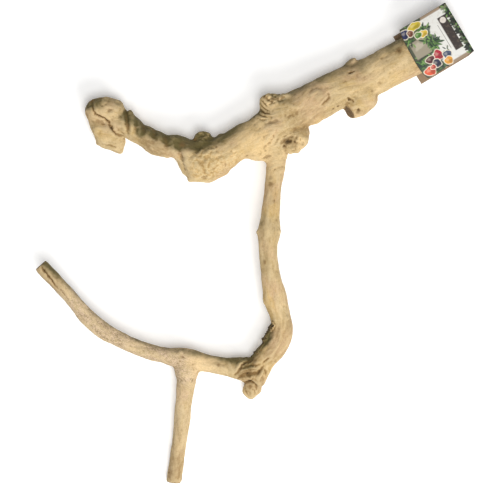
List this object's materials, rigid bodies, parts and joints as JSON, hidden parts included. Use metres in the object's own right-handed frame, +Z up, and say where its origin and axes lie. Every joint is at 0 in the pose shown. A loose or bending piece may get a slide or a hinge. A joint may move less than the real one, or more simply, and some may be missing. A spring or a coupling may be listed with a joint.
{
  "type": "fallen tree branch",
  "caption": "Crooked debarked tree branch lying on the ground: burred limb with a hooked head, hanging branch, bent arm and peg, and a folded card tag over its butt.",
  "frame": {"origin": "on the ground, under the centre of the branch's bounding box", "axes": "+Z up from the ground, +Y from the peg's tip towards the main limb, +X from the hooked head towards the sawn butt"},
  "size_m": [0.5208, 0.5766, 0.0645],
  "materials": {
    "bare_wood": "dry debarked wood, sandblasted",
    "printed_card": "matte printed card"
  },
  "bodies": {
    "root": {"main_limb": "bare_wood", "drop_branch": "bare_wood", "side_arm": "bare_wood", "peg_shoot": "bare_wood", "card_tag": "printed_card"}
  },
  "joints": []
}
